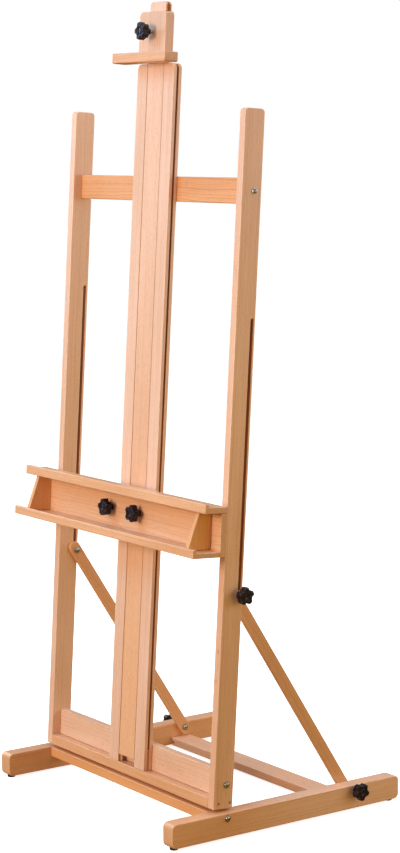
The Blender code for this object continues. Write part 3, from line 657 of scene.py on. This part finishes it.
def makeInnerMast():
    low, high = boxOf("inner_mast", standUp)
    slider = addBlock("innerMast", low, high)
    roundCorners(slider, 1, mast["mastCorner"], lambda spot: spot.z > high.z - hair, 8)
    middle = (low.y + high.y) / 2
    half = mast["grooveWidth"] / 2
    for side in sides.values():
        edge = high.x * side
        inner = edge - side * mast["mastGrooveDepth"]
        outer = edge + side * hair
        carve(slider, (min(inner, outer), middle - half, low.z - hair),
              (max(inner, outer), middle + half, high.z + hair))
    softEdges(slider, mast["mastEdge"])
    place(slider, tipBack)
    # painted shade in both side grooves and along the joints with the rails
    depth = mast["mastGrooveDepth"]
    shadedSeams = [((side * high.x, 0, 0), (depth + hair, half + hair, 1)) for side in sides.values()]
    shadedSeams += [((side * high.x, 0, 0), (mast["jointShade"][name], 1, 1))
              for name, side in sides.items()]
    # the warmer tone towards the lower end is painted shade: less light and sheen reach the mast
    # low down
    look = beech("inner_mast_beech", "inner_mast", "z", "pale", standUp, 0.22, shadedSeams=shadedSeams,
                 foot=("warm", 0.15, -0.65))
    finishPiece(slider, look, "inner_mast", "inner_mast")


makePosts()
makeCrossBoards()
makeMastRails()
makeInnerMast()
print("frame and mast ready")


# ---- canvas holder

holder = {
    "corner": 0.009,
    "edge": 0.0016,
    "barCorner": 0.003,
    "channel": 0.0274,
    "tongueTip": 0.0238,
    "tongueFront": 0.0051,  # behind the frame's front plane
    "faceGap": 0.0003,
}


def makeHolder():
    low, high = boxOf("holder_block", standUp)
    frontPlane = boxOf("inner_mast", standUp)[0].y
    block = addBlock("holderBlock", low, high)
    roundCorners(block, 1, holder["corner"], lambda spot: spot.z > high.z - hair, 8)
    carve(block, (-holder["channel"], frontPlane - holder["faceGap"], low.z - hair),
          (holder["channel"], frontPlane + holder["tongueFront"], high.z + hair))
    carve(block, (-holder["tongueTip"], frontPlane - holder["faceGap"], low.z - hair),
          (holder["tongueTip"], high.y + hair, high.z + hair))
    softEdges(block, holder["edge"] * 0.7)
    place(block, tipBack)
    finishPiece(block, beech("holder_block_beech", "holder_block", "z", "soft", standUp, 0.25),
                "holder", "holder_block")
    bar = addBlock("holderBar", *boxOf("holder_bar", standUp))
    roundCorners(bar, 1, holder["barCorner"], segments=4)
    softEdges(bar, holder["edge"])
    place(bar, tipBack)
    finishPiece(bar, beech("holder_bar_beech", "holder_bar", "x", "warm", standUp, 0.45),
                "holder", "holder_bar")


makeHolder()
print("holder ready")


# ---- tray

tray = {
    "ledgeLip": 0.008,
    "floorLip": 0.007,
    "lipHeight": {"tray_ledge": 0.006, "tray_floor": 0.007},
    "edge": 0.0016,
    "studHole": 0.0034,
    "webGap": 0.0015,  # between the clamp's web and the frame's front plane
    "tongueHalf": 0.0014,
    "endRise": 0.0230,  # how far an end panel leans back from bottom to top
    "cheek": 0.0626,
}


def makeLippedBoard(name, node, lip):
    # a board with a raised strip along its front
    low, high = boxOf(node, standUp)
    flat = Vector((high.x, high.y, high.z - tray["lipHeight"][node]))
    board = addBlock(name, low, flat)
    pick(board, "FACE", lambda face: True)
    bpy.ops.mesh.bisect(plane_co=(0, low.y + lip, 0), plane_no=(0, 1, 0))
    done()
    pick(board, "FACE", lambda face: face.normal.z > 0.9
         and face.calc_center_median().y < low.y + lip)
    bpy.ops.mesh.extrude_region_move(TRANSFORM_OT_translate={"value": (0, 0, high.z - flat.z)})
    done()
    softEdges(board, tray["edge"], 4)
    place(board, tipBack)
    return board


def makeTray():
    for name, node, lip in (("trayLedge", "tray_ledge", tray["ledgeLip"]),
                            ("trayFloor", "tray_floor", tray["floorLip"])):
        board = makeLippedBoard(name, node, lip)
        finishPiece(board, beech(node + "_beech", node, "x", "honey", standUp, 0.28), "tray", node)

    back = addBlock("trayBackPanel", *boxOf("tray_back_panel", standUp))
    softEdges(back, tray["edge"] * 0.7)
    for side in sides:
        low, high = boxOf(f"tray_{side}_stud", standUp)
        middle = (low + high) / 2
        deselectAll()
        bpy.ops.mesh.primitive_cylinder_add(vertices=32, radius=tray["studHole"],
                                            depth=high.y - low.y + tray["studHole"],
                                            location=middle, rotation=(math.pi / 2, 0, 0))
        hole = bpy.context.object
        settle(hole)
        combine(back, hole, "DIFFERENCE")
    place(back, tipBack)
    finishPiece(back, beech("tray_back_beech", "tray_back_panel", "x", "honey", standUp, 0.34),
                "tray", "tray_back_panel")

    for side in sides:
        node = f"tray_{side}_end"
        low, high = boxOf(node, standUp)
        end = addBlock(f"tray{side.capitalize()}End", low, high)
        pick(end, "EDGE", lambda edge: runsAlong(edge, 0) and middleOf(edge).z > high.z - hair
             and middleOf(edge).y < low.y + hair)
        bpy.ops.transform.translate(value=(0, tray["endRise"], 0))
        done()
        softEdges(end, tray["edge"] * 0.6)
        place(end, tipBack)
        finishPiece(end, beech(node + "_beech", node, "z", "amber", standUp, 0.25), "tray", node)

    low, high = boxOf("tray_clamp_block", standUp)
    frontPlane = boxOf("inner_mast", standUp)[0].y
    clamp = addBlock("trayClampBlock", low, high)
    carve(clamp, (-tray["cheek"], frontPlane - tray["webGap"], low.z - hair),
          (tray["cheek"], high.y + hair, high.z + hair))
    softEdges(clamp, tray["edge"])
    railLow, railHigh = boxOf("right_mast_rail", standUp)
    middle = (railLow.y + railHigh.y) / 2
    for side in sides.values():
        tip = side * (railHigh.x - mast["grooveDepth"] + play)
        root = side * (tray["cheek"] + mast["root"])
        thick = tray["tongueHalf"]
        tongue = addBlock("tongue", (min(tip, root), middle - thick, low.z + mast["shy"]),
                          (max(tip, root), middle + thick, high.z - mast["shy"]))
        combine(clamp, tongue, "UNION")
    place(clamp, tipBack)
    finishPiece(clamp, beech("tray_clamp_beech", "tray_clamp_block", "z", "warm", standUp),
                "tray", "tray_clamp_block")


makeTray()
print("tray ready")


# ---- braces

brace = {
    "width": 0.024,
    "past": 0.018,  # from a pivot to the end of the bar
    "corner": 0.0118,
    "edge": 0.0014,
    "tones": {"left": "warm", "right": "warm"},
}
bracePivot = Vector(joints["left_foot_knob_turn"]["pos_m"])
bracePin = Vector(joints["left_slot_knob_turn"]["pos_m"])
braceTip = math.atan2(bracePivot.y - bracePin.y, bracePin.z - bracePivot.z)
braceLength = math.hypot(bracePin.y - bracePivot.y, bracePin.z - bracePivot.z)


def makeBraces():
    low, high = boxOf("right_brace")
    half = brace["width"] / 2
    bar = addBlock("rightBrace", (low.x, -half, -brace["past"]),
                   (high.x, half, braceLength + brace["past"]))
    roundCorners(bar, 0, brace["corner"], segments=8)
    softEdges(bar, brace["edge"])
    swing = (Matrix.Translation((0, bracePivot.y, bracePivot.z))
             @ Matrix.Rotation(braceTip, 4, "X"))
    place(bar, swing)
    other = mirroredCopy(bar, "leftBrace")
    upright = (Matrix.Rotation(-braceTip, 4, "X")
               @ Matrix.Translation((0, -bracePivot.y, -bracePivot.z)))
    for side, piece in (("right", bar), ("left", other)):
        node = side + "_brace"
        look = beech(node + "_beech", node, "z", brace["tones"][side], upright)
        finishPiece(piece, look, node, node)


makeBraces()
print("braces ready")


# ---- bolts, washers, screws and dowels

bolt = {
    "head": 0.0050,
    "headHeight": 0.0030,
    "washer": 0.0066,
    "washerHeight": 0.0011,
    "shank": 0.0030,
    "socket": 0.0021,
    "socketDepth": 0.0016,
    "slotShank": 0.0025,
    "slotWasher": 0.0012,
    "turnSteps": 36,
    "domeSteps": 6,
}


def towards(axis, reference):
    # turns a piece made along +Z so that it points along an axis
    axis = Vector(axis).normalized()
    side = Vector(reference)
    side = (side - axis * side.dot(axis)).normalized()
    return Matrix((side, axis.cross(side), axis)).transposed().to_4x4()


def addBolt(name, length, socket):
    rings = [(bolt["shank"], -length), (bolt["shank"], 0), (bolt["washer"], 0),
             (bolt["washer"], bolt["washerHeight"]), (bolt["head"] * 1.02, bolt["washerHeight"])]
    steps = bolt["domeSteps"]
    for step in range(1, steps):
        angle = math.pi / 2 * step / steps
        rings.append((bolt["head"] * math.cos(angle * 0.97),
                      bolt["washerHeight"] + bolt["headHeight"] * math.sin(angle)))
    piece = turned(name, rings, bolt["turnSteps"])
    softEdges(piece, 0.0002, 2, 50)
    if socket:
        deselectAll()
        top = bolt["washerHeight"] + bolt["headHeight"]
        bpy.ops.mesh.primitive_cylinder_add(vertices=6, radius=bolt["socket"],
                                            depth=2 * bolt["socketDepth"], location=(0, 0, top))
        key = bpy.context.object
        settle(key)
        combine(piece, key, "DIFFERENCE")
    return piece


def makeBolts():
    kinds = (("base_bolt", "base", noTip, True, 1), ("pivot_bolt", "base", noTip, False, -1),
             ("crossbar_bolt", "frame", standUp, True, 1),
             ("panel_bolt", "frame", standUp, True, 1), ("brace_bolt", None, noTip, False, -1))
    for kind, body, turn, socket, outward in kinds:
        low, high = boxOf("right_" + kind, turn)
        length = high.x - low.x - bolt["washerHeight"] - bolt["headHeight"]
        first = addBolt("firstBolt", length, socket)
        for side, sign in sides.items():
            node = side + "_" + kind
            low, high = boxOf(node, turn)
            facing = sign * outward
            tip = high.x if facing > 0 else low.x
            seat = tip - facing * (bolt["washerHeight"] + bolt["headHeight"])
            piece = copyOf(first, side + "".join(word.capitalize() for word in kind.split("_")))
            place(piece, towards((facing, 0, 0), (0, 0.5, 1)))
            place(piece, Matrix.Translation((seat, (low.y + high.y) / 2, (low.z + high.z) / 2)))
            place(piece, turn.inverted())
            finishPiece(piece, nickel, body or side + "_brace", node)
        bpy.data.objects.remove(first)


def makeSlotBolts():
    low, high = boxOf("right_slot_bolt", standUp)
    washer = (high.z - low.z) / 2
    length = high.x - low.x
    shank = bolt["slotShank"]
    seat = length - bolt["slotWasher"]
    first = turned("firstBolt", [(shank, 0), (shank, seat), (washer, seat), (washer, length)], 40)
    softEdges(first, 0.0003, 2, 50)
    for side, sign in sides.items():
        node = side + "_slot_bolt"
        low, high = boxOf(node, standUp)
        start = low.x if sign > 0 else high.x
        piece = copyOf(first, side + "SlotBolt")
        place(piece, towards((sign, 0, 0), (0, 0, 1)))
        place(piece, Matrix.Translation((start, (low.y + high.y) / 2, (low.z + high.z) / 2)))
        place(piece, tipBack)
        finishPiece(piece, zinc, node, node)
    bpy.data.objects.remove(first)


def makeDowels():
    low, high = boxOf("front_right_dowel", standUp)
    radius = (high.z - low.z) / 2
    length = high.x - low.x
    first = turned("firstDowel", [(radius, 0), (radius, length)], 28)
    softEdges(first, 0.0004, 2, 50)
    for end in ("front", "rear"):
        for side, sign in sides.items():
            node = f"{end}_{side}_dowel"
            low, high = boxOf(node, standUp)
            start = low.x if sign > 0 else high.x
            piece = copyOf(first, end + side.capitalize() + "Dowel")
            place(piece, towards((sign, 0, 0), (0, 0, 1)))
            place(piece, Matrix.Translation((start, (low.y + high.y) / 2, (low.z + high.z) / 2)))
            place(piece, tipBack)
            finishPiece(piece, beech(node + "_beech", node, "x", "dark", standUp, 0.5), "frame",
                        node)
    bpy.data.objects.remove(first)


screw = {
    "rings": ((1, 0), (1, 0.35), (0.75, 0.8), (0.35, 1)),  # shares of the radius and the height
    "cross": (0.0019, 0.0005),  # half the cross slot's length and width
    "crossStart": 0.4,
}


def makeRailScrews():
    low, high = boxOf("right_rear_rail_screw")
    radius = (high.x - low.x) / 2
    tall = high.y - low.y
    first = turned("firstScrew", [(radius * wide, tall * up) for wide, up in screw["rings"]], 32)
    for turn in (0, 1):
        reach = screw["cross"]
        carve(first, (-reach[turn], -reach[1 - turn], tall * screw["crossStart"]),
              (reach[turn], reach[1 - turn], tall + hair))
    softEdges(first, 0.0001, 1, 50)
    for side in sides:
        node = side + "_rear_rail_screw"
        low, high = boxOf(node)
        piece = copyOf(first, side + "RearRailScrew")
        place(piece, towards((0, -1, 0), (1, 0, 0.4)))
        place(piece, Matrix.Translation(((low.x + high.x) / 2, high.y, (low.z + high.z) / 2)))
        finishPiece(piece, nickel, "base", node)
    bpy.data.objects.remove(first)


makeBolts()
makeSlotBolts()
makeDowels()
makeRailScrews()
print("fasteners ready")


# ---- star knobs

knob = {
    "outer": 0.0169,
    "inner": 0.0129,
    "lobes": 5,
    "scallop": 0.0085,
    "headStart": 0.0105,
    "headEnd": 0.0230,
    "cornerRadius": 0.0026,
    "edge": 0.0009,
    "crown": ((0.90, 0.0006), (0.82, 0.0002), (0.72, -0.0006)),  # scale and rise of each ring
    "hub": ((0.0064, 0), (0.0064, 0.0010), (0.0061, 0.0016), (0.0064, 0.0040),
            (0.0074, 0.0070), (0.0092, 0.0092), (0.0114, 0.0105), (0.0114, 0.0130)),
    "cap": ((0.0062, -0.002), (0.0062, 0.0010), (0.0056, 0.00135), (0.0030, 0.0014)),
    "spins": {  # degrees that the first lobe stands turned from right, or from down at the sides
        "holder_knob": 36, "tray_left_knob": 28.6, "tray_right_knob": 5.7, "mast_knob": 11.5,
        "left_slot_knob": -36, "right_slot_knob": 36, "left_foot_knob": 0, "right_foot_knob": 0},
}


def addKnob():
    start = knob["headStart"]
    end = knob["headEnd"]
    outer = knob["outer"]
    head = turned("starKnob", [(outer, start), (outer, end)], 90)
    apart = knob["inner"] + knob["scallop"]
    for lobe in range(knob["lobes"]):
        angle = 2 * math.pi * (lobe + 0.5) / knob["lobes"]
        deselectAll()
        bpy.ops.mesh.primitive_cylinder_add(
            vertices=40, radius=knob["scallop"], depth=2 * end,
            location=(apart * math.cos(angle), apart * math.sin(angle), start))
        scoop = bpy.context.object
        settle(scoop)
        combine(head, scoop, "DIFFERENCE")

    def lobeCorner(edge):
        if not runsAlong(edge, 2) or len(edge.link_faces) != 2:
            return False
        return edge.calc_face_angle() > math.radians(25)
    pick(head, "EDGE", lobeCorner)
    bpy.ops.mesh.bevel(offset=knob["cornerRadius"], segments=6, affect="EDGES")
    done()

    # crowned front: the flat face is drawn in and raised, then a shallow ring round the cap
    pick(head, "FACE", lambda face: face.normal.z > 0.9)
    top = end
    for scale, rise in knob["crown"]:
        top += rise
        bpy.ops.mesh.extrude_region_move(TRANSFORM_OT_translate={"value": (0, 0, rise)})
        bpy.ops.transform.resize(value=(scale, scale, 1), center_override=(0, 0, top))
    done()
    combine(head, turned("hub", knob["hub"], 48), "UNION")
    cap = [(radius, end + rise) for radius, rise in knob["cap"]]
    combine(head, turned("cap", cap, 48), "UNION")
    softEdges(head, knob["edge"], 4, 40)
    return head


def makeKnobs():
    first = addKnob()
    for node, spin in knob["spins"].items():
        joint = joints[node + "_turn"]
        axis = Vector(joint["axis"])
        reference = (0, 0, -1) if abs(axis.x) > 0.5 else (1, 0, 0)
        words = node.split("_")
        piece = copyOf(first, words[0] + "".join(word.capitalize() for word in words[1:]))
        place(piece, Matrix.Rotation(math.radians(spin), 4, "Z"))
        place(piece, towards(axis, reference))
        place(piece, Matrix.Translation(joint["pos_m"]))
        finishPiece(piece, plastic, joint["child"], node)
    bpy.data.objects.remove(first)


makeKnobs()
print("knobs ready")

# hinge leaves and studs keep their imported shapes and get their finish
for nodeName, part in frame["nodes"].items():
    if "hinge" in nodeName or nodeName.endswith("_stud"):
        part.data.materials.clear()
        part.data.materials.append(zinc)
print("metal ready")


# ---- floor, light and camera

studio = {
    "floorSize": 60,
    "domeRadius": 30,
    "floor": 0.92,
    "floorGlow": 0.78,
    "backdrop": 1.0,
    "above": (0.31, 0.295, 0.27),  # soft light from all round, above the horizon
    "below": (0.33, 0.16, 0.02),  # and the warm light that a wooden floor throws back
    "horizonBlur": 0.15,
    "lights": {  # place, size, power in each colour
        "key": ((0.3, -4.0, 1.7), 1.7, (126, 112, 102)),
        "high": ((-1.0, -2.6, 3.6), 1.7, (20, 41, 70)),
        "left": ((-2.3, -3.1, 2.9), 1.8, (5, 20, 40)),
        "side": ((3.1, 2.5, 1.7), 2.0, (25, 24, 28)),
        "warm": ((3.5, 0.6, 0.9), 1.2, (15, 13, 0.2)),
        "top": ((0.3, 0.3, 4.2), 2.4, (55, 51, 57)),
        "back": ((0.5, 4.2, 1.5), 2.0, (60, 57, 55)),
        "far": ((-4.0, -0.3, 1.6), 2.0, (50, 48, 47)),
    },
}
camera = {
    "place": (3.5144, -2.5079, 1.3047),
    "yaw": 54.3344,
    "pitch": -7.4233,
    "roll": -0.2622,
    "lens": 92.18,  # on a sensor 36 mm tall
}


def makeStudio():
    deselectAll()
    bpy.ops.mesh.primitive_plane_add(size=studio["floorSize"])
    floor = bpy.context.object
    floor.name = "studioFloor"
    material, start = newMaterial("studio_floor")
    surfaceOf(start, {"Base Color": (*[studio["floor"]] * 3, 1), "Roughness": 0.9,
                      "Specular IOR Level": 0.1, "Emission Color": (1, 1, 1, 1),
                      "Emission Strength": studio["floorGlow"]})
    floor.data.materials.append(material)
    floor.visible_diffuse = False
    floor.visible_glossy = False
    floor.visible_shadow = False
    bpy.ops.mesh.primitive_uv_sphere_add(segments=48, ring_count=24, radius=studio["domeRadius"])
    dome = bpy.context.object
    dome.name = "studioBackdrop"
    material, start = newMaterial("studio_backdrop")
    shine = start.node("Emission", {}, {"Strength": studio["backdrop"]})
    start.node("OutputMaterial", {}, {"Surface": shine})
    dome.data.materials.append(material)
    dome.visible_diffuse = False
    dome.visible_glossy = False
    dome.visible_transmission = False
    dome.visible_shadow = False

    world = bpy.data.worlds.new("studio")
    bpy.context.scene.world = world
    world.use_nodes = True
    ambient = Wire(world.node_tree)
    direction = ambient.node("TexCoord", output="Generated")
    level = direction.node("SeparateXYZ", {}, {"Vector": direction}, "Z").fade(
        -studio["horizonBlur"], studio["horizonBlur"])
    glow = level.node("Mix", {"data_type": "RGBA"}, {
        0: level, 6: (*studio["below"], 1), 7: (*studio["above"], 1)}, 2)
    world.node_tree.links.new(glow.socket, world.node_tree.nodes["Background"].inputs["Color"])

    aim = Vector((0, 0, (cadLow.z + cadHigh.z) / 2))
    for name, (spot, size, power) in studio["lights"].items():
        deselectAll()
        bpy.ops.object.light_add(type="AREA", location=spot)
        lamp = bpy.context.object
        lamp.name = name + "Light"
        lamp.data.shape = "DISK"
        lamp.data.size = size
        lamp.data.energy = max(power)
        lamp.data.color = [share / max(power) for share in power]
        lamp.rotation_euler = (aim - Vector(spot)).to_track_quat("-Z", "Y").to_euler()


def makeCamera():
    yaw, pitch, roll = (math.radians(camera[name]) for name in ("yaw", "pitch", "roll"))
    deselectAll()
    bpy.ops.object.camera_add(location=camera["place"])
    eye = bpy.context.object
    eye.name = "studioCamera"
    eye.matrix_world = (Matrix.Translation(camera["place"]) @ Matrix.Rotation(yaw, 4, "Z")
                        @ Matrix.Rotation(math.pi / 2 + pitch, 4, "X")
                        @ Matrix.Rotation(roll, 4, "Z"))
    eye.data.sensor_fit = "VERTICAL"
    eye.data.sensor_height = 36
    eye.data.lens = camera["lens"]
    eye.data.clip_end = 100
    bpy.context.scene.camera = eye


makeStudio()
makeCamera()
bpy.context.scene.view_settings.view_transform = "Standard"
print("studio ready")
